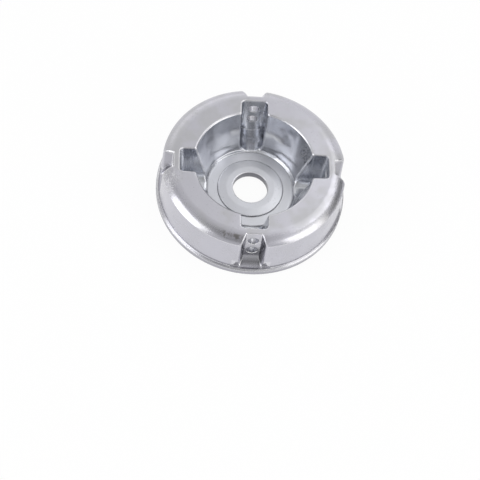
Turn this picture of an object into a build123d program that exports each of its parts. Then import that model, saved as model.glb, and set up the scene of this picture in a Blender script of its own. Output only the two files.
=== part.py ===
from build123d import *
import os
from math import atan2, cos, degrees, sin, sqrt, tan

# Trimmer head: one aluminium die casting, all sizes in millimetres.
# It stands on its flat base at z = 0 with the bowl facing up.
# The origin is on the axis of the arbor bore, the line channels run along X and Y.

# Overall sizes
flange_d = 80.0        # lip around the base, the widest diameter
height = 23.0          # base to the flat top ring
mouth_d = 50.0         # edge of the bowl in the top ring
bore_d = 15.0          # arbor bore through the hub

# Base lip and outer wall
lip_t = 3.0            # height of the lip
lip_reach = 1.0        # how far the lip stands out from the foot of the wall
lip_bevel = 0.3        # bevel of the upper lip edge
lip_hollow = 0.55      # hollow bevel in the crease between the lip and the wall
base_bevel = 0.4       # bevel where the lip meets the ground
wall_lean = 0.8        # inward lean of the wall between lip and shoulder

# Shoulder between the wall and the flat top ring
shoulder_run = 5.8     # its width seen from above
shoulder_drop = 3.0    # its height

# Bowl and hub
hub_t = 2.6            # hub plate thickness
hub_edge_d = 36.4      # outer edge of the raised hub face
hub_edge_step = 0.3    # depth of the narrow groove around the hub face
bowl_foot_gap = 1.0    # groove width, hub face to the foot of the bowl cone
bowl_foot_bevel = 0.8  # bevel at the foot of the bowl cone
boss_d = 27.6          # raised boss around the bore
boss_step = 0.6        # upright step at the rim of the boss
boss_rise = 0.3        # extra rise of the boss towards the seat
seat_d = 20.6          # flat seat for the clamping nut

# Inner line channels, open to the bowl and to the top
channel_w = 11.1       # width at the mouth edge, top
channel_taper = 0.15   # each side comes in by this much between mouth edge and web
channel_lean = 0.9     # each side wall leans in by this much at the floor
channel_sink = 0.1     # channel floor below the hub face
channel_round = 4.2    # hollow rounding along the two lower corners
channel_end_round = 1.6  # hollow rounding of the two upright corners at the web
channel_bevel = 0.4    # bevel of the edges between channel and bowl

# Web with the line holes, and the outer notch in front of it
web_t = 2.6            # web thickness at the top
web_lean = 1.0         # inner web face leans in by this much at the floor
web_setback = 4.7      # outer web face behind the top of the wall
notch_w = 6.2          # notch width at the web
notch_flare = 0.48     # sideways widening per millimetre of depth
notch_round = 1.6      # rounding from the notch sides into the wall
notch_blend = 0.06     # the rounding meets the wall this far before it would run out
notch_foot = 4.6       # hollow rounding from the web to the notch floor
notch_floor = 0.2      # notch floor above the lip
foot_run = 2.0         # how far the foot of the notch spreads to each side
foot_rise = 4.5        # height over the notch floor where the spreading starts
foot_depth = 0.9       # how deep the spread foot cuts into the wall at the floor
line_hole_d = 4.4      # cross holes for the cutting line
line_hole_drop = 5.7   # upper hole below the top
line_hole_pitch = 6.8  # lower hole below the upper hole

# Cored underside
wall_t = 3.0           # wall, roof and rib thickness left by the cores

# Small bevels
edge_bevel = 0.3       # top edges of bowl, channels and notches
over = 2.0             # how far cutting shapes reach past the surface they cut
near = 0.01            # tolerance for telling edges by their place

# Derived sizes
flange_r = flange_d / 2
mouth_r = mouth_d / 2
bore_r = bore_d / 2
hub_edge_r = hub_edge_d / 2
wall_foot_r = flange_r - lip_reach
wall_top_r = wall_foot_r - wall_lean
shoulder_z = height - shoulder_drop
wall_slope = wall_lean / (shoulder_z - lip_t)
plan_r = wall_foot_r - wall_slope * (height - lip_t)  # wall carried up to the height of the top ring
ring_r = wall_top_r - shoulder_run
shoulder_r = (shoulder_run**2 + shoulder_drop**2) / (2 * shoulder_drop)
shoulder_turn = atan2(shoulder_run, shoulder_r - shoulder_drop)
groove_z = hub_t - hub_edge_step
cone_foot_r = hub_edge_r + bowl_foot_gap
cone_lean = atan2(mouth_r - cone_foot_r, height - groove_z)
seat_z = hub_t + boss_step + boss_rise
floor_z = hub_t - channel_sink
web_out_x = wall_top_r - web_setback
web_in_x = web_out_x - web_t
notch_z = lip_t + notch_floor
line_hole_high = height - line_hole_drop
line_hole_low = line_hole_high - line_hole_pitch
rib_half = channel_w / 2 + wall_t


def cone_r(z):
    """Radius of the bowl cone at a height."""
    return cone_foot_r + (z - groove_z) * tan(cone_lean)


def shoulder_arc(r):
    """Arc concentric with the shoulder: start, middle and end in the profile plane."""
    turns = (0, shoulder_turn / 2, shoulder_turn)
    return [(ring_r + r * sin(a), height - shoulder_r + r * cos(a)) for a in turns]


def body():
    """Solid of revolution with lip, wall, shoulder, bowl and hub."""
    start, middle, end = shoulder_arc(shoulder_r)
    outside = Polyline(
        (bore_r, 0),
        (flange_r - base_bevel, 0),
        (flange_r, base_bevel),
        (flange_r, lip_t - lip_bevel),
        (flange_r - lip_bevel, lip_t),
        (wall_foot_r + lip_hollow, lip_t),
        (wall_foot_r - wall_slope * lip_hollow, lip_t + lip_hollow),
        end,
    )
    inside = Polyline(
        start,
        (mouth_r, height),
        (cone_r(groove_z + bowl_foot_bevel), groove_z + bowl_foot_bevel),
        (cone_foot_r - bowl_foot_bevel, groove_z),
        (hub_edge_r, groove_z),
        (hub_edge_r, hub_t),
        (boss_d / 2, hub_t),
        (boss_d / 2, hub_t + boss_step),
        (seat_d / 2, seat_z),
        (bore_r, seat_z),
        (bore_r, 0),
    )
    outline = outside + ThreePointArc(end, middle, start) + inside
    # The seam of the round faces lies between two channels
    return Rot(0, 0, 45) * revolve(Plane.XZ * make_face(outline), Axis.Z)


def cores():
    """Four kidney-shaped hollows that open to the base between the channels."""
    offset = wall_t / cos(cone_lean)
    roof = height - wall_t
    start, _, end = shoulder_arc(shoulder_r - wall_t)
    section = Polyline(
        (wall_foot_r - wall_t, -over),
        (cone_r(-over) + offset, -over),
        (cone_r(roof) + offset, roof),
        start,
        end,
        close=True,
    )
    ring = revolve(Plane.XZ * make_face(section), Axis.Z)
    rib = Box(3 * flange_r, 2 * rib_half, 4 * height)
    return ring - rib - Rot(0, 0, 90) * rib


def channel():
    """Inner channel along +X: a trough with leaning flat sides that ends at the leaning web face."""
    deep = height - floor_z
    start_x = cone_foot_r - bowl_foot_gap / 2
    lean = degrees(atan2(channel_lean, deep))
    turn = degrees(atan2(channel_taper, web_in_x - mouth_r))
    web_tilt = degrees(atan2(web_lean, deep))
    big = 4 * height
    side = Box(big, big, big, align=(Align.CENTER, Align.MIN, Align.CENTER))
    side = Rot(0, 0, -turn) * Rot(-lean, 0, 0) * side
    side = Pos(mouth_r, channel_w / 2 - channel_lean, floor_z) * side
    end = Box(big, big, big, align=(Align.MIN, Align.CENTER, Align.CENTER))
    end = Pos(web_in_x - web_lean, 0, floor_z) * Rot(0, web_tilt, 0) * end
    block = Box(web_out_x - start_x, flange_r, height + over, align=(Align.MIN, Align.CENTER, Align.MIN))

    # The trough without an end, its two lower corners rounded
    trough = Pos(start_x, 0, floor_z) * block - side - mirror(side, Plane.XZ)
    floor = trough.faces().sort_by(Axis.Z)[0]
    trough = fillet(floor.edges().sort_by(Axis.Y)[::3], channel_round)

    # The end without a floor, its two upright corners rounded
    reach = Pos(start_x, 0, floor_z - over) * block - side - mirror(side, Plane.XZ) - end
    web = reach.faces().sort_by(Axis.X)[-1]
    reach = fillet(web.edges().sort_by(Axis.Y)[::3], channel_end_round)
    return trough & reach


def notch_rounding():
    """The rounding from a notch side into the wall, in plan: back, leave, middle and meet points."""
    flare = atan2(notch_flare, 1)
    along = Vector(cos(flare), sin(flare))
    normal = Vector(-sin(flare), cos(flare))
    foot = Vector(web_out_x, notch_w / 2)
    ring = plan_r + notch_blend
    # Centre of the rounding: off the side by its radius, and inside the wall by its radius
    base = foot + normal * notch_round
    b = base.dot(along)
    c = base.dot(base) - (ring - notch_round)**2
    run = sqrt(b * b - c) - b
    centre = base + along * run
    out = centre.normalized()
    mid = centre + (out - normal).normalized() * notch_round
    return foot - along * over, foot + along * run, mid, out * ring


def notch_plan():
    """Notch outline at the height of the top ring: flared sides, then a rounding into the wall."""
    back, leave, mid, meet = notch_rounding()
    past = meet + Vector(-meet.Y, meet.X).normalized() * notch_w

    def flip(point):
        return Vector(point.X, -point.Y)

    far = flange_r + 2 * over
    outline = Line(back, leave) + ThreePointArc(leave, mid, meet)
    outline += Polyline(meet, past, (far, past.Y), (far, -past.Y), flip(past), flip(meet))
    outline += ThreePointArc(flip(meet), flip(mid), flip(leave))
    outline += Polyline(flip(leave), flip(back), back)
    return make_face(outline)


def notch():
    """Outer notch along +X: it leans with the wall and has a big hollow from the web to the floor."""
    top = height + over
    reach = flange_r + over
    web_foot = (web_out_x + wall_slope * (height - notch_z), notch_z)
    side = Polyline(
        web_foot,
        (reach, notch_z),
        (reach, top),
        (web_out_x - wall_slope * over, top),
        close=True,
    )
    profile = make_face(side)
    profile = fillet(profile.vertices().sort_by_distance((*web_foot, 0))[0], notch_foot)
    slab = extrude(Plane.XZ * profile, flange_r, both=True)
    lean = Pos(plan_r, 0, height) * Rot(0, -degrees(atan2(wall_slope, 1)), 0) * Pos(-plan_r, 0, 0)
    return slab & extrude(lean * notch_plan(), height, both=True)


def notch_foot_spread():
    """The foot of the notch spreads along the lip: an arc on each side, upright at its upper end."""
    edge_y = notch_rounding()[3].Y
    foot_x = sqrt(wall_foot_r**2 - edge_y**2)
    arc_r = (foot_run**2 + foot_rise**2) / (2 * foot_run)
    turn = atan2(foot_rise, arc_r - foot_run) / 2
    top = notch_z + foot_rise
    inner = edge_y - notch_round
    start = (edge_y, top)
    middle = (edge_y + arc_r - arc_r * cos(turn), top - arc_r * sin(turn))
    end = (edge_y + foot_run, notch_z)
    outline = ThreePointArc(start, middle, end) + Polyline(end, (inner, notch_z), (inner, top), start)
    side = extrude(Plane.YZ.offset(foot_x - over) * make_face(outline), 2 * over + lip_reach)
    # What stays behind the cut leans out, so that the cut fades into the wall at its upper end
    tilt = degrees(atan2(foot_depth - wall_slope * foot_rise, foot_rise))
    stay = Box(flange_r, flange_r, height, align=(Align.MAX, Align.CENTER, Align.CENTER))
    side -= Pos(foot_x - foot_depth, 0, notch_z) * Rot(0, tilt, 0) * stay
    return side + mirror(side, Plane.XZ)


def line_holes():
    """Two round holes through the web, one above the other."""
    start = web_in_x - web_lean - over
    end = web_out_x + wall_slope * height + over
    holes = []
    for z in (line_hole_low, line_hole_high):
        hole = Cylinder(line_hole_d / 2, end - start, align=(Align.CENTER, Align.CENTER, Align.MIN))
        holes.append(Pos(start, 0, z) * Rot(0, 90, 0) * hole)
    return holes


def radius(point):
    """Distance of a point from the axis."""
    return sqrt(point.X**2 + point.Y**2)


def channel_edges(shape):
    """Edges that run from the top down into the bowl, between its cone and the channel sides."""
    picked = []
    for edge in shape.edges():
        low, high = sorted((edge @ 0, edge @ 1), key=lambda point: point.Z)
        if abs(high.Z - height) < near and low.Z < height / 2 and radius(high) < mouth_r + near:
            picked.append(edge)
    return picked


def top_edges(shape):
    """Inner outline of the flat top ring: the bowl with its channels."""
    top = shape.faces().filter_by(Plane.XY).sort_by(Axis.Z)[-1]
    return [edge for wire in top.inner_wires() for edge in wire.edges()]


def notch_edges(shape):
    """Edges of the notches where they cut the shoulder."""
    picked = []
    for face in shape.faces().filter_by(GeomType.TORUS):
        box = face.bounding_box()
        if box.max.Z < height - near or box.min.Z > shoulder_z + near:
            continue
        for edge in face.edges():
            inner, outer = sorted((radius(edge @ 0), radius(edge @ 1)))
            if inner > ring_r + near and outer < wall_top_r - near:
                picked.append(edge)
    return picked


head = body() - cores()
cutters = [channel(), notch(), notch_foot_spread()] + line_holes()
for quarter in range(4):
    for cutter in cutters:
        head -= Rot(0, 0, 90 * quarter) * cutter
head = chamfer(channel_edges(head), channel_bevel)
head = chamfer(top_edges(head), edge_bevel)
head = chamfer(notch_edges(head), edge_bevel)

os.makedirs("parts", exist_ok=True)
export_step(head, "parts/trimmer_head.step")
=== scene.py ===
from functools import reduce
from math import cos, pi, radians, sin
from operator import mul
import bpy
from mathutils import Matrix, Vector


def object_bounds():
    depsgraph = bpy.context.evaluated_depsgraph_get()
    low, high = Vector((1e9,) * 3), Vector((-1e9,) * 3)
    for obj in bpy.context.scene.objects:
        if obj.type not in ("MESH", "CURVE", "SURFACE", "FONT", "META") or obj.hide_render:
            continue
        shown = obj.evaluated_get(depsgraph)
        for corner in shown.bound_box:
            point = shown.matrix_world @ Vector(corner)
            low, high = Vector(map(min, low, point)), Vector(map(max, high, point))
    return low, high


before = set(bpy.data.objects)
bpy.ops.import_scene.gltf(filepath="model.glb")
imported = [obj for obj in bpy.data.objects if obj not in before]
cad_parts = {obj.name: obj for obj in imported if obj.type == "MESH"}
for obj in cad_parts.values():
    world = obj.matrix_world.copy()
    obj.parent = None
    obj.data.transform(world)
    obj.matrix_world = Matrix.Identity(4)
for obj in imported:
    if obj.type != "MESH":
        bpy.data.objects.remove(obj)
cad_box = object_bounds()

from types import SimpleNamespace

import bpy
import numpy as np
from bpy.props import FloatProperty, FloatVectorProperty, PointerProperty
from mathutils import Matrix, Quaternion, Vector

bl_info = {
    "name": "Cast trimmer head",
    "version": (1, 0, 0),
    "blender": (4, 5, 0),
    "location": "View3D > Sidebar > Trimmer head",
    "description": "Finishes the die-cast trimmer head and sets up its studio",
    "category": "Object",
}

HEAD = "trimmer_head"
MM = 0.001

# The head's sizes in millimetres: levels above the base, radii, and half the width of a notch
TOP = cad_box[1][2] / MM
WALL_TOP = 20.0
SEAT = 3.5
LIP_TOP = 3.0
HUB_TOP = 2.6
LIP_R = cad_box[1][0] / MM
WALL_R = 38.2
WEB_OUT_R = 33.5
WEB_IN_R = 30.9
MOUTH_R = 25.0
HUB_R = 18.2
BOSS_R = 13.8
BORE_R = 7.5
NOTCH = 3.1

# Zones of the head, each by its soft steps: the measure, where the zone starts and where it is full, in
# millimetres. The measures are x, y, the level above the base, the radius from the axis, and the distance
# aside from the middle of the nearest channel.
ZONES = {
    # Flat top ring
    "ring": (("level", TOP - 0.6, TOP - 0.1),),
    # Hub face, boss and seat
    "hub": (("level", SEAT + 0.9, SEAT + 0.3), ("radius", HUB_R + 0.2, HUB_R - 0.3)),
    # Cone of the bowl
    "bowl": (
        ("radius", HUB_R + 0.2, HUB_R + 1.4),
        ("radius", MOUTH_R + 0.8, MOUTH_R + 0.2),
        ("level", TOP - 0.2, TOP - 0.7),
    ),
    # Bowl and channels together, out to the webs
    "inside": (
        ("radius", HUB_R - 0.2, HUB_R + 0.4),
        ("radius", WEB_IN_R + 1.1, WEB_IN_R + 0.5),
        ("level", TOP - 0.2, TOP - 0.7),
    ),
    # Rounding between the top ring and the wall, and a strip along its middle
    "shoulder": (("radius", WEB_OUT_R + 0.1, WEB_OUT_R + 1.5), ("level", WALL_TOP - 2.0, WALL_TOP - 0.5)),
    "strip": (("radius", WEB_OUT_R + 0.7, WEB_OUT_R + 1.4), ("radius", WALL_R - 1.2, WALL_R - 2.0)),
    # Outer wall and the lip below it
    "wall": (("radius", WALL_R - 1.8, WALL_R - 1.0), ("level", WALL_TOP + 0.5, WALL_TOP - 1.0)),
    "lip": (("radius", LIP_R - 1.7, LIP_R - 1.2), ("level", LIP_TOP + 2.2, LIP_TOP + 1.2)),
    # Inside of the bore, and the step at the rim of the boss
    "bore": (("radius", BORE_R + 0.2, BORE_R + 0.05), ("level", SEAT, SEAT - 0.3)),
    "step": (
        ("radius", BOSS_R - 0.25, BOSS_R - 0.1),
        ("radius", BOSS_R + 0.45, BOSS_R + 0.2),
        ("level", SEAT - 0.2, SEAT - 0.4),
    ),
    # Edge of the mouth, at the left front only
    "rim": (
        ("radius", MOUTH_R - 0.4, MOUTH_R - 0.1),
        ("radius", MOUTH_R + 0.6, MOUTH_R + 0.3),
        ("level", TOP - 0.8, TOP - 0.5),
        ("y", -6.0, -14.0),
        ("x", 8.0, 0.0),
    ),
    # Hollow at the bottom of each notch, its two sides, and the spread foot beside it
    "hollow": (
        ("radius", WEB_OUT_R - 0.1, WEB_OUT_R + 0.7),
        ("aside", NOTCH + 1.5, NOTCH + 0.6),
        ("level", LIP_TOP + 11.0, LIP_TOP + 6.5),
        ("level", LIP_TOP + 0.2, LIP_TOP + 1.4),
    ),
    "cheek": (
        ("radius", WEB_OUT_R + 0.1, WEB_OUT_R + 0.9),
        ("radius", WALL_R - 0.2, WALL_R - 1.2),
        ("aside", NOTCH - 0.05, NOTCH + 0.3),
        ("aside", NOTCH + 2.3, NOTCH + 1.9),
        ("level", WALL_TOP + 2.0, WALL_TOP),
    ),
    "curl": (
        ("radius", WEB_OUT_R + 2.1, WEB_OUT_R + 2.9),
        ("aside", NOTCH + 0.5, NOTCH + 1.1),
        ("aside", NOTCH + 5.4, NOTCH + 4.4),
        ("level", LIP_TOP + 6.0, LIP_TOP + 4.5),
        ("level", LIP_TOP, LIP_TOP + 0.3),
    ),
}

# Marks in one place only: centre, radius of the full patch and radius where it ends, in millimetres. The
# burn is a brownish stain with a painted dark reflection in it, and the ledge is a painted highlight; the
# casting has the others.
MARKS = {
    "burn": ((-9.2, -34.6, 21.9), 2.5, 5.5),
    "rash": ((-35.8, -8.8, 21.2), 2.5, 7.0),
    "ledge": ((0.0, -30.2, 3.0), 5.0, 6.5),
    "gravel": ((35.3, -10.5, 21.0), 4.0, 8.0),
    "scab": ((22.0, 8.6, 18.0), 3.0, 5.0),
}

# Where a noise turns from clear to covered
CLOUD_NOISE = (0.40, 0.66)
MOTTLE_NOISE = (0.42, 0.60)
FROST_NOISE = (0.50, 0.62)
DRIFT_NOISE = (0.50, 0.66)
SPECK_NOISE = (0.54, 0.66)

# Where a pit ends, counted from its middle in parts of the spacing
PIT_REACH = (0.12, 0.30)

# Share of open sky at which a corner gets painted shade, and at which an edge can get a painted glint
CORNER_SHADE_SKY = (0.30, 0.80)
GLINT_SKY = (0.55, 0.80)

# Cosine of the bend at which an edge gets a painted glint
GLINT_BEND = (0.92, 0.998)

# Samples of the nodes that look around a point
AROUND = 6

# Sockets of a Mix node that mixes colours
MIX_FACTOR, MIX_FIRST, MIX_SECOND, MIX_RESULT = 0, 6, 7, 2

# Soft boxes: name, azimuth from the camera to the right, elevation, width and height in degrees, brightness
# and tint
LAMPS = (
    ("left_box", -60, 20, 40, 50, 2.3, (1.0, 1.0, 1.0)),
    ("right_box", 68, 20, 40, 50, 1.45, (1.0, 0.985, 0.93)),
    ("top_box", 128, 56, 46, 28, 1.33, (1.0, 1.0, 1.0)),
    ("back_box", 205, 24, 56, 26, 0.25, (1.0, 0.99, 0.96)),
)

# From each soft box to the head in metres
LAMP_DISTANCE = 1.0

# Cards and flags of the room: azimuth from the camera, elevation, inner and outer radius in degrees, and
# what each adds to the room's level
ROOM = (
    (0, 58, 8, 38, -0.50),
    (60, 48, 10, 35, 0.30),
    (200, 10, 25, 55, 0.45),
    (112, 10, 10, 28, -0.65),
    (-110, 38, 8, 28, -0.15),
)

# Floor and backdrop in metres, and the steps round the bend between them
FLOOR_FRONT = -2.4
FLOOR_BACK = 1.4
BEND_RADIUS = 0.5
BEND_STEPS = 16
BACKDROP_TOP = 1.6
HALF_WIDTH = 2.4


def colour(name, description, default):
    """A colour property for a panel."""
    return FloatVectorProperty(
        name=name, description=description, subtype="COLOR", min=0.0, max=1.0, default=default
    )


def length(name, description, default):
    """A length property in metres for a panel."""
    return FloatProperty(name=name, description=description, unit="LENGTH", precision=5, default=default)


def factor(name, description, default):
    """A property between nought and one for a panel."""
    return FloatProperty(
        name=name, description=description, subtype="FACTOR", min=0.0, max=1.0, default=default
    )


def angle(name, description, default):
    """An angle property, given in degrees, for a panel."""
    return FloatProperty(name=name, description=description, unit="ROTATION", default=radians(default))


class CastFinish(bpy.types.PropertyGroup):
    """Colours and sizes of the casting's surface."""

    metal: colour("Metal", "Reflection of the clean casting", (0.54, 0.536, 0.59))
    cloud: colour("Cloud", "Duller patches of the casting skin", (0.475, 0.475, 0.495))
    # Soot darkens the pits, and the same colour is also the painted shade in corners and hollows
    soot_and_shade: colour("Soot", "Dark film in corners and pits", (0.10, 0.10, 0.115))
    # A brownish stain, which on the front shoulder also paints a dark reflection
    stain_and_reflection_tone: colour("Stain", "Brownish burn marks on the shoulder", (0.20, 0.185, 0.17))
    # Painted light: brighter metal inside the bowl and on the hub, standing in for their reflections
    inner_light: colour("Lining", "Cleaner metal inside the bowl and on the hub", (0.645, 0.66, 0.70))
    # Bright metal, also used for the painted glints along the edges and the painted highlight at the front
    # web's foot
    bare_metal_and_highlight: colour("Bare edge", "Metal rubbed bright along the edges", (0.93, 0.93, 0.95))
    gloss: factor("Roughness", "Roughness of the smooth walls", 0.22)
    satin: factor("Satin", "Extra roughness of the top ring and the hub", 0.08)
    haze: length("Cloud width", "Width of the dull clouds", 9.0 * MM)
    ripple: length("Ripple", "Width of the soft waves in the casting skin", 6.5 * MM)
    mottle: length("Mottle", "Width of the spots in a stain", 1.6 * MM)
    grain: length("Grain", "Width of the fine casting grain", 0.45 * MM)
    speck: length("Speck", "Width of the specks in rough patches", 0.55 * MM)
    pit: length("Pit spacing", "Spacing of the small pits", 1.3 * MM)
    drift: length("Pit drift", "Width of the patches that have pits", 7.0 * MM)
    edge: length("Edge radius", "Radius of the softened edges", 0.7 * MM)
    # How far the painted shade reaches out of a corner
    corner_shade_reach: length("Crevice", "Reach of the soot out of a corner", 1.5 * MM)


class Studio(bpy.types.PropertyGroup):
    """Camera, floor and lights."""

    azimuth: angle("Azimuth", "Where the camera stands, from the front to the right", -8.9)
    elevation: angle("Elevation", "Height of the camera above the horizon", 60.63)
    roll: angle("Roll", "Turn of the camera about its own axis", 10.65)
    distance: length("Distance", "From the camera to the point it looks at", 0.5855)
    aim: FloatVectorProperty(
        name="Aim",
        description="The point on the floor that the camera looks at",
        subtype="XYZ",
        unit="LENGTH",
        default=(-3.94 * MM, -23.84 * MM, 0.0),
    )
    lens: FloatProperty(name="Lens", description="Focal length", unit="CAMERA", default=105.0)
    floor: colour("Floor", "Colour of the floor and the backdrop", (0.92, 0.92, 0.92))
    floor_light: factor("Floor light", "How far the floor outshines its shadow", 0.94)
    room: FloatProperty(name="Room", description="Light level of the room", default=0.92)


class Wire:
    """A value on its way through a node tree; arithmetic on it adds Math nodes."""

    def __init__(self, tree, socket):
        self.tree = tree
        self.socket = socket

    def __add__(self, other):
        return self.tree.math("ADD", self, other)

    def __radd__(self, other):
        return self.tree.math("ADD", other, self)

    def __sub__(self, other):
        return self.tree.math("SUBTRACT", self, other)

    def __rsub__(self, other):
        return self.tree.math("SUBTRACT", other, self)

    def __mul__(self, other):
        return self.tree.math("MULTIPLY", self, other)

    def __rmul__(self, other):
        return self.tree.math("MULTIPLY", other, self)

    def __pow__(self, other):
        return self.tree.math("POWER", self, other)

    def size(self):
        """The value without its sign."""
        return self.tree.math("ABSOLUTE", self)

    def within(self, low, high):
        """One between low and high, nought elsewhere."""
        return self.tree.math("COMPARE", self, (low + high) / 2, (high - low) / 2)

    def line(self, low, high):
        """Nought below low, one above high and a straight line between them."""
        return self.tree.add("ShaderNodeMapRange", None, {"Value": self, "From Min": low, "From Max": high})

    def rise(self, low, high):
        """Nought below low, one above high and a smooth step between them."""
        return self.tree.add(
            "ShaderNodeMapRange",
            {"interpolation_type": "SMOOTHSTEP"},
            {"Value": self, "From Min": low, "From Max": high},
        )

    def fall(self, low, high):
        """One below low, nought above high and a smooth step between them."""
        return 1 - self.rise(low, high)

    def step(self, start, full):
        """Nought at start, one at full and a smooth step between them; either may be the higher."""
        return self.rise(start, full) if start < full else self.fall(full, start)


class Tree:
    """The node tree of one material or of the world, cleared and ready to fill."""

    def __init__(self, owner):
        owner.use_nodes = True
        self.nodes = owner.node_tree.nodes
        self.links = owner.node_tree.links
        self.nodes.clear()

    def add(self, kind, settings=None, sockets=None, out=0):
        """Adds a node, sets its settings and then its sockets, and returns the outputs asked for."""
        node = self.nodes.new(kind)
        for key, value in (settings or {}).items():
            setattr(node, key, value)
        for key, value in (sockets or {}).items():
            if isinstance(value, Wire):
                self.links.new(value.socket, node.inputs[key])
            else:
                node.inputs[key].default_value = value
        if isinstance(out, tuple):
            return [Wire(self, node.outputs[name]) for name in out]
        return Wire(self, node.outputs[out]) if node.outputs else None

    def math(self, operation, *values):
        """A Math node on these values."""
        return self.add("ShaderNodeMath", {"operation": operation}, dict(enumerate(values)))

    def dot(self, first, second):
        """The dot product of two vectors."""
        sockets = {0: first, 1: second}
        return self.add("ShaderNodeVectorMath", {"operation": "DOT_PRODUCT"}, sockets, out="Value")

    def mix(self, amount, first, second):
        """A colour between two colours."""
        sockets = {MIX_FACTOR: amount, MIX_FIRST: rgba(first), MIX_SECOND: rgba(second)}
        return self.add("ShaderNodeMix", {"data_type": "RGBA"}, sockets, out=MIX_RESULT)

    def noise(self, place, width, detail=2.0):
        """Soft noise around one half, with blobs of about this width."""
        sockets = {"Vector": place, "Scale": 1 / width, "Detail": detail}
        return self.add("ShaderNodeTexNoise", None, sockets, out="Fac")

    def place(self):
        """Position on the object in metres, and the same in millimetres."""
        here = self.add("ShaderNodeTexCoord", out="Object")
        scaled = self.add("ShaderNodeVectorMath", {"operation": "SCALE"}, {0: here, "Scale": 1 / MM})
        return here, scaled

    def spot(self, scaled, centre, full, end):
        """A round patch about a point: one out to the radius full and nought from end on, in millimetres."""
        sockets = {0: scaled, 1: centre}
        away = self.add("ShaderNodeVectorMath", {"operation": "DISTANCE"}, sockets, out="Value")
        return away.fall(full, end)


def rgba(value):
    """A colour property as the four numbers that a socket takes; a wire stays a wire."""
    return value if isinstance(value, Wire) else (*value, 1.0)


def head_measures(tree, scaled):
    """The measures that zones are given by, in millimetres."""
    x, y, level = tree.add("ShaderNodeSeparateXYZ", None, {0: scaled}, out=("X", "Y", "Z"))
    radius = (x * x + y * y) ** 0.5
    aside = tree.math("MINIMUM", x.size(), y.size())
    return {"x": x, "y": y, "level": level, "radius": radius, "aside": aside}


def head_zones(measures):
    """The mask of each zone: the product of its soft steps."""
    masks = {}
    for name, steps in ZONES.items():
        masks[name] = reduce(mul, [measures[measure].step(start, full) for measure, start, full in steps])
    return SimpleNamespace(**masks)


def head_marks(tree, scaled, zone):
    """The mask of each mark; the stain on the front shoulder, the highlight at the web's foot and the gravel
    are kept to the zone that they lie on.
    """
    mark = SimpleNamespace(**{name: tree.spot(scaled, *patch) for name, patch in MARKS.items()})
    mark.burn = mark.burn * zone.strip
    mark.ledge = mark.ledge * zone.inside
    mark.gravel = mark.gravel * zone.shoulder
    return mark


def shade_and_glint_masks(tree, finish, zone, mark):
    """The softened normal, and the masks of painted shade in corners and of painted glints along bent edges.
    """
    soft = tree.add("ShaderNodeBevel", {"samples": AROUND}, {"Radius": finish.edge})
    flat = tree.add("ShaderNodeNewGeometry", out="Normal")
    settings = {"samples": AROUND, "only_local": True}
    open_sky = tree.add("ShaderNodeAmbientOcclusion", settings, {"Distance": finish.corner_shade_reach}, out="AO")
    # Painted shade in corners with little open sky, kept off the lip, the bowl, the curl and the web's foot
    corner_shade_kept = (1 - zone.lip) * (1 - 0.8 * zone.inside) * (1 - zone.curl) * (1 - mark.ledge)
    corner = open_sky.fall(*CORNER_SHADE_SKY) * corner_shade_kept
    # Painted glint along bent edges in the open
    glinting = tree.dot(soft, flat).fall(*GLINT_BEND) * open_sky.rise(*GLINT_SKY)
    return soft, corner, glinting


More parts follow.
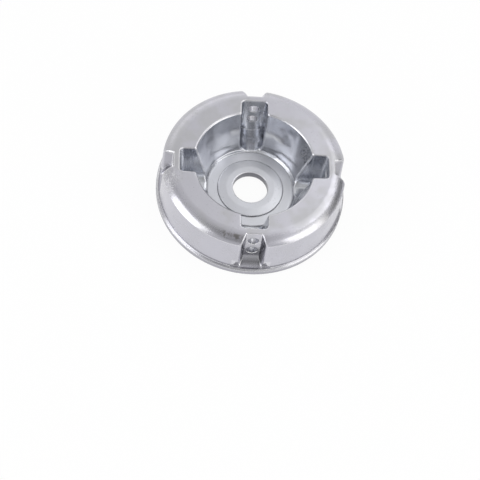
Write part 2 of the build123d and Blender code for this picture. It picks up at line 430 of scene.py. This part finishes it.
def cast_aluminium(finish):
    """Bright die-cast aluminium: dull clouds, grain, waves, pits and stains, with painted shade in corners
    and hollows, painted light in the bowl and on the hub, a painted dark reflection on the front shoulder,
    and painted highlights along the edges and at the front web's foot.
    """
    material = bpy.data.materials.new("cast_aluminium")
    tree = Tree(material)
    here, scaled = tree.place()
    measures = head_measures(tree, scaled)
    zone = head_zones(measures)
    mark = head_marks(tree, scaled, zone)
    soft, corner, glinting = shade_and_glint_masks(tree, finish, zone, mark)

    clouds = tree.noise(here, finish.haze).rise(*CLOUD_NOISE)
    ripple = tree.noise(here, finish.ripple, detail=0.5)
    mottle = tree.noise(here, finish.mottle, detail=3.0).rise(*MOTTLE_NOISE)
    grain = tree.noise(here, finish.grain, detail=1.0)
    specks = tree.noise(here, finish.speck, detail=0.0).rise(*SPECK_NOISE)
    drift = tree.noise(here, finish.drift).rise(*DRIFT_NOISE)
    sockets = {"Vector": here, "Scale": 1 / finish.pit}
    cells = tree.add("ShaderNodeTexVoronoi", None, sockets, out="Distance")
    pits = 0.2 * cells.fall(*PIT_REACH) * drift + specks * (mark.scab + 0.45 * mark.gravel)

    # How far each film covers what lies under it, from the lowest film to the uppermost
    dull = clouds * (0.8 - 0.6 * zone.wall) + 0.15 * zone.ring
    # Painted light: the bowl, the channels and the hub are made brighter
    clean = 0.9 * zone.inside + 0.68 * zone.hub
    # Brownish stain with a painted dark reflection on the front shoulder, and a faint stain in the rash
    burnt = mottle * (0.75 * mark.burn + 0.12 * mark.rash)
    # The ledge is a painted highlight on the foot of the front web; the curl is made brighter and the rash
    # has bright frost specks
    bright = 0.3 * zone.curl + 0.7 * mark.ledge + 0.6 * mark.rash * grain.rise(*FROST_NOISE)
    # Painted shade: the corners, the notch hollows and their sides, the lip, the bore, the boss step and the
    # left front rim of the mouth
    painted_shade = 0.45 * corner + 0.5 * zone.hollow + 0.3 * zone.cheek + 0.33 * zone.lip
    painted_shade = painted_shade + 0.85 * zone.bore + 0.6 * zone.step + 0.5 * zone.rim
    # Painted glint along the edges, weaker on the left front rim
    painted_glint = glinting * (0.95 - 0.8 * zone.rim)

    skin = tree.mix(dull, finish.metal, finish.cloud)
    skin = tree.mix(clean, skin, finish.inner_light)
    skin = tree.mix(burnt, skin, finish.stain_and_reflection_tone)
    skin = tree.mix(bright, skin, finish.bare_metal_and_highlight)
    skin = tree.mix(painted_shade, skin, finish.soot_and_shade)
    skin = tree.mix(0.85 * pits, skin, finish.soot_and_shade)
    skin = tree.mix(painted_glint, skin, finish.bare_metal_and_highlight)

    rough = finish.gloss + finish.satin * (zone.ring + zone.hub) - 0.05 * zone.bowl
    rough = rough + 0.07 * clouds + 0.12 * (grain - 0.5) + 0.15 * corner
    rough = rough + 0.10 * mark.burn + 0.08 * mark.rash + glinting * (0.36 * zone.inside - 0.06)

    # Height of the skin in millimetres. It runs softly over the bevel at the bowl's foot, where it rises
    # with the square of the nearness to the hub.
    foot = (1 - measures["level"].line(HUB_TOP + 0.3, HUB_TOP + 2.3)) ** 2
    foot = foot * measures["radius"].within(HUB_R + 0.2, MOUTH_R + 1.0)
    waves = (0.06 + 0.36 * zone.bowl) * ripple
    grit = (0.006 + 0.014 * mark.rash + 0.010 * zone.shoulder) * grain
    height = 0.3 * foot + waves + grit - 0.06 * pits
    bumped = tree.add("ShaderNodeBump", None, {"Height": height, "Distance": MM, "Normal": soft})

    sockets = {"Base Color": skin, "Metallic": 1.0, "Roughness": rough, "Normal": bumped}
    shader = tree.add("ShaderNodeBsdfPrincipled", None, sockets)
    tree.add("ShaderNodeOutputMaterial", None, {"Surface": shader})
    return material


def studio_white(studio):
    """Matt white that the camera and reflections see almost shadowless."""
    material = bpy.data.materials.new("studio_white")
    tree = Tree(material)
    matt = tree.add("ShaderNodeBsdfDiffuse", None, {"Color": rgba(studio.floor)})
    glow = tree.add("ShaderNodeEmission", None, {"Strength": 1.0})
    rays = ("Is Camera Ray", "Is Glossy Ray", "Is Transmission Ray")
    camera, glossy, through = tree.add("ShaderNodeLightPath", out=rays)
    seen = (camera + glossy + through) * studio.floor_light
    shader = tree.add("ShaderNodeMixShader", None, {0: seen, 1: matt, 2: glow})
    tree.add("ShaderNodeOutputMaterial", None, {"Surface": shader})
    return material


def sweep():
    """Floor and backdrop in one sheet: a profile carried along X. The profile is a straight floor, a quarter
    circle and a straight wall, as (run, rise) over one parameter; the other is the place along X."""
    turn = np.linspace(0, pi / 2, BEND_STEPS + 1)
    end = FLOOR_BACK + BEND_RADIUS
    run = np.concatenate(([FLOOR_FRONT], FLOOR_BACK + BEND_RADIUS * np.sin(turn), [end]))
    rise = np.concatenate(([0.0], BEND_RADIUS - BEND_RADIUS * np.cos(turn), [BACKDROP_TOP]))
    across = np.array([-HALF_WIDTH, HALF_WIDTH])
    along = np.arange(len(run))
    points = np.stack(
        (
            np.broadcast_to(across[None, :], (len(run), 2)),
            np.broadcast_to(run[:, None], (len(run), 2)),
            np.broadcast_to(rise[:, None], (len(run), 2)),
        ),
        axis=-1,
    ).reshape(-1, 3)
    start = 2 * along[:-1]
    faces = np.stack((start, start + 1, start + 3, start + 2), axis=-1)
    mesh = bpy.data.meshes.new("studio_sweep")
    mesh.from_pydata(points.tolist(), [], faces.tolist())
    mesh.shade_smooth()
    return bpy.data.objects.new("studio_sweep", mesh)


def direction(azimuth, elevation):
    """Unit vector towards a place given by its azimuth, from the front to the right, and its elevation."""
    return Vector((sin(azimuth) * cos(elevation), -cos(azimuth) * cos(elevation), sin(elevation)))


def facing(position, target, roll=0.0):
    """Matrix of a camera or lamp at a position that looks at a target."""
    turn = (target - position).to_track_quat("-Z", "Y") @ Quaternion((0, 0, 1), roll)
    return Matrix.Translation(position) @ turn.to_matrix().to_4x4()


def add_camera(studio):
    """The camera at the photograph's viewing angle."""
    data = bpy.data.cameras.new("camera")
    data.lens = studio.lens
    camera = bpy.data.objects.new("camera", data)
    aim = Vector(studio.aim)
    position = aim + studio.distance * direction(studio.azimuth, studio.elevation)
    camera.matrix_world = facing(position, aim, studio.roll)
    bpy.context.scene.collection.objects.link(camera)
    bpy.context.scene.camera = camera


def add_lamp(studio, name, azimuth, elevation, width, height, level, tint):
    """A soft box aimed at the head, its azimuth counted from the camera; level is how bright its face is."""
    data = bpy.data.lights.new(name, "AREA")
    data.shape = "RECTANGLE"
    data.color = tint
    data.size = 2 * LAMP_DISTANCE * sin(radians(width / 2))
    data.size_y = 2 * LAMP_DISTANCE * sin(radians(height / 2))
    data.energy = level * pi * data.size * data.size_y
    lamp = bpy.data.objects.new(name, data)
    towards = direction(studio.azimuth + radians(azimuth), radians(elevation))
    lamp.matrix_world = facing(LAMP_DISTANCE * towards, Vector())
    bpy.context.scene.collection.objects.link(lamp)


def light_room(studio):
    """The room's own light: an even level, brighter or darker towards its cards and flags."""
    world = bpy.data.worlds.new("room")
    bpy.context.scene.world = world
    tree = Tree(world)
    towards = tree.add("ShaderNodeTexCoord", out="Generated")
    level = studio.room
    for azimuth, elevation, inner, outer, change in ROOM:
        middle = direction(studio.azimuth + radians(azimuth), radians(elevation))
        near = tree.dot(towards, middle)
        level = level + change * near.rise(cos(radians(outer)), cos(radians(inner)))
    sky = tree.add("ShaderNodeBackground", None, {"Strength": level})
    tree.add("ShaderNodeOutputWorld", None, {"Surface": sky})


class HEAD_OT_cast_head(bpy.types.Operator):
    """Give the cast head its metal"""

    bl_idname = "trimmer.cast_head"
    bl_label = "Cast head"

    def execute(self, context):
        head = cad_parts[HEAD]
        head.data.materials.clear()
        head.data.materials.append(cast_aluminium(context.scene.cast_finish))
        return {"FINISHED"}


class HEAD_OT_stage(bpy.types.Operator):
    """Set up the floor, the lights and the camera"""

    bl_idname = "trimmer.stage"
    bl_label = "Stage"

    def execute(self, context):
        studio = context.scene.studio
        floor = sweep()
        floor.data.materials.append(studio_white(studio))
        context.scene.collection.objects.link(floor)
        for lamp in LAMPS:
            add_lamp(studio, *lamp)
        light_room(studio)
        add_camera(studio)
        context.scene.view_settings.view_transform = "Standard"
        return {"FINISHED"}


class HEAD_PT_panel(bpy.types.Panel):
    """The head's settings and steps"""

    bl_idname = "HEAD_PT_panel"
    bl_label = "Trimmer head"
    bl_space_type = "VIEW_3D"
    bl_region_type = "UI"
    bl_category = "Trimmer head"

    def draw(self, context):
        for group, step in (("cast_finish", HEAD_OT_cast_head), ("studio", HEAD_OT_stage)):
            settings = getattr(context.scene, group)
            for name in settings.__annotations__:
                self.layout.prop(settings, name)
            self.layout.operator(step.bl_idname)


CLASSES = (CastFinish, Studio, HEAD_OT_cast_head, HEAD_OT_stage, HEAD_PT_panel)


def register():
    """Add the classes and the settings they need."""
    for one in CLASSES:
        bpy.utils.register_class(one)
    bpy.types.Scene.cast_finish = PointerProperty(type=CastFinish)
    bpy.types.Scene.studio = PointerProperty(type=Studio)


def unregister():
    """Take the settings and the classes away again."""
    del bpy.types.Scene.studio
    del bpy.types.Scene.cast_finish
    for one in reversed(CLASSES):
        bpy.utils.unregister_class(one)


def main():
    """Register and run the steps in order."""
    register()
    bpy.ops.trimmer.cast_head()
    bpy.ops.trimmer.stage()


if __name__ == "__main__":
    main()
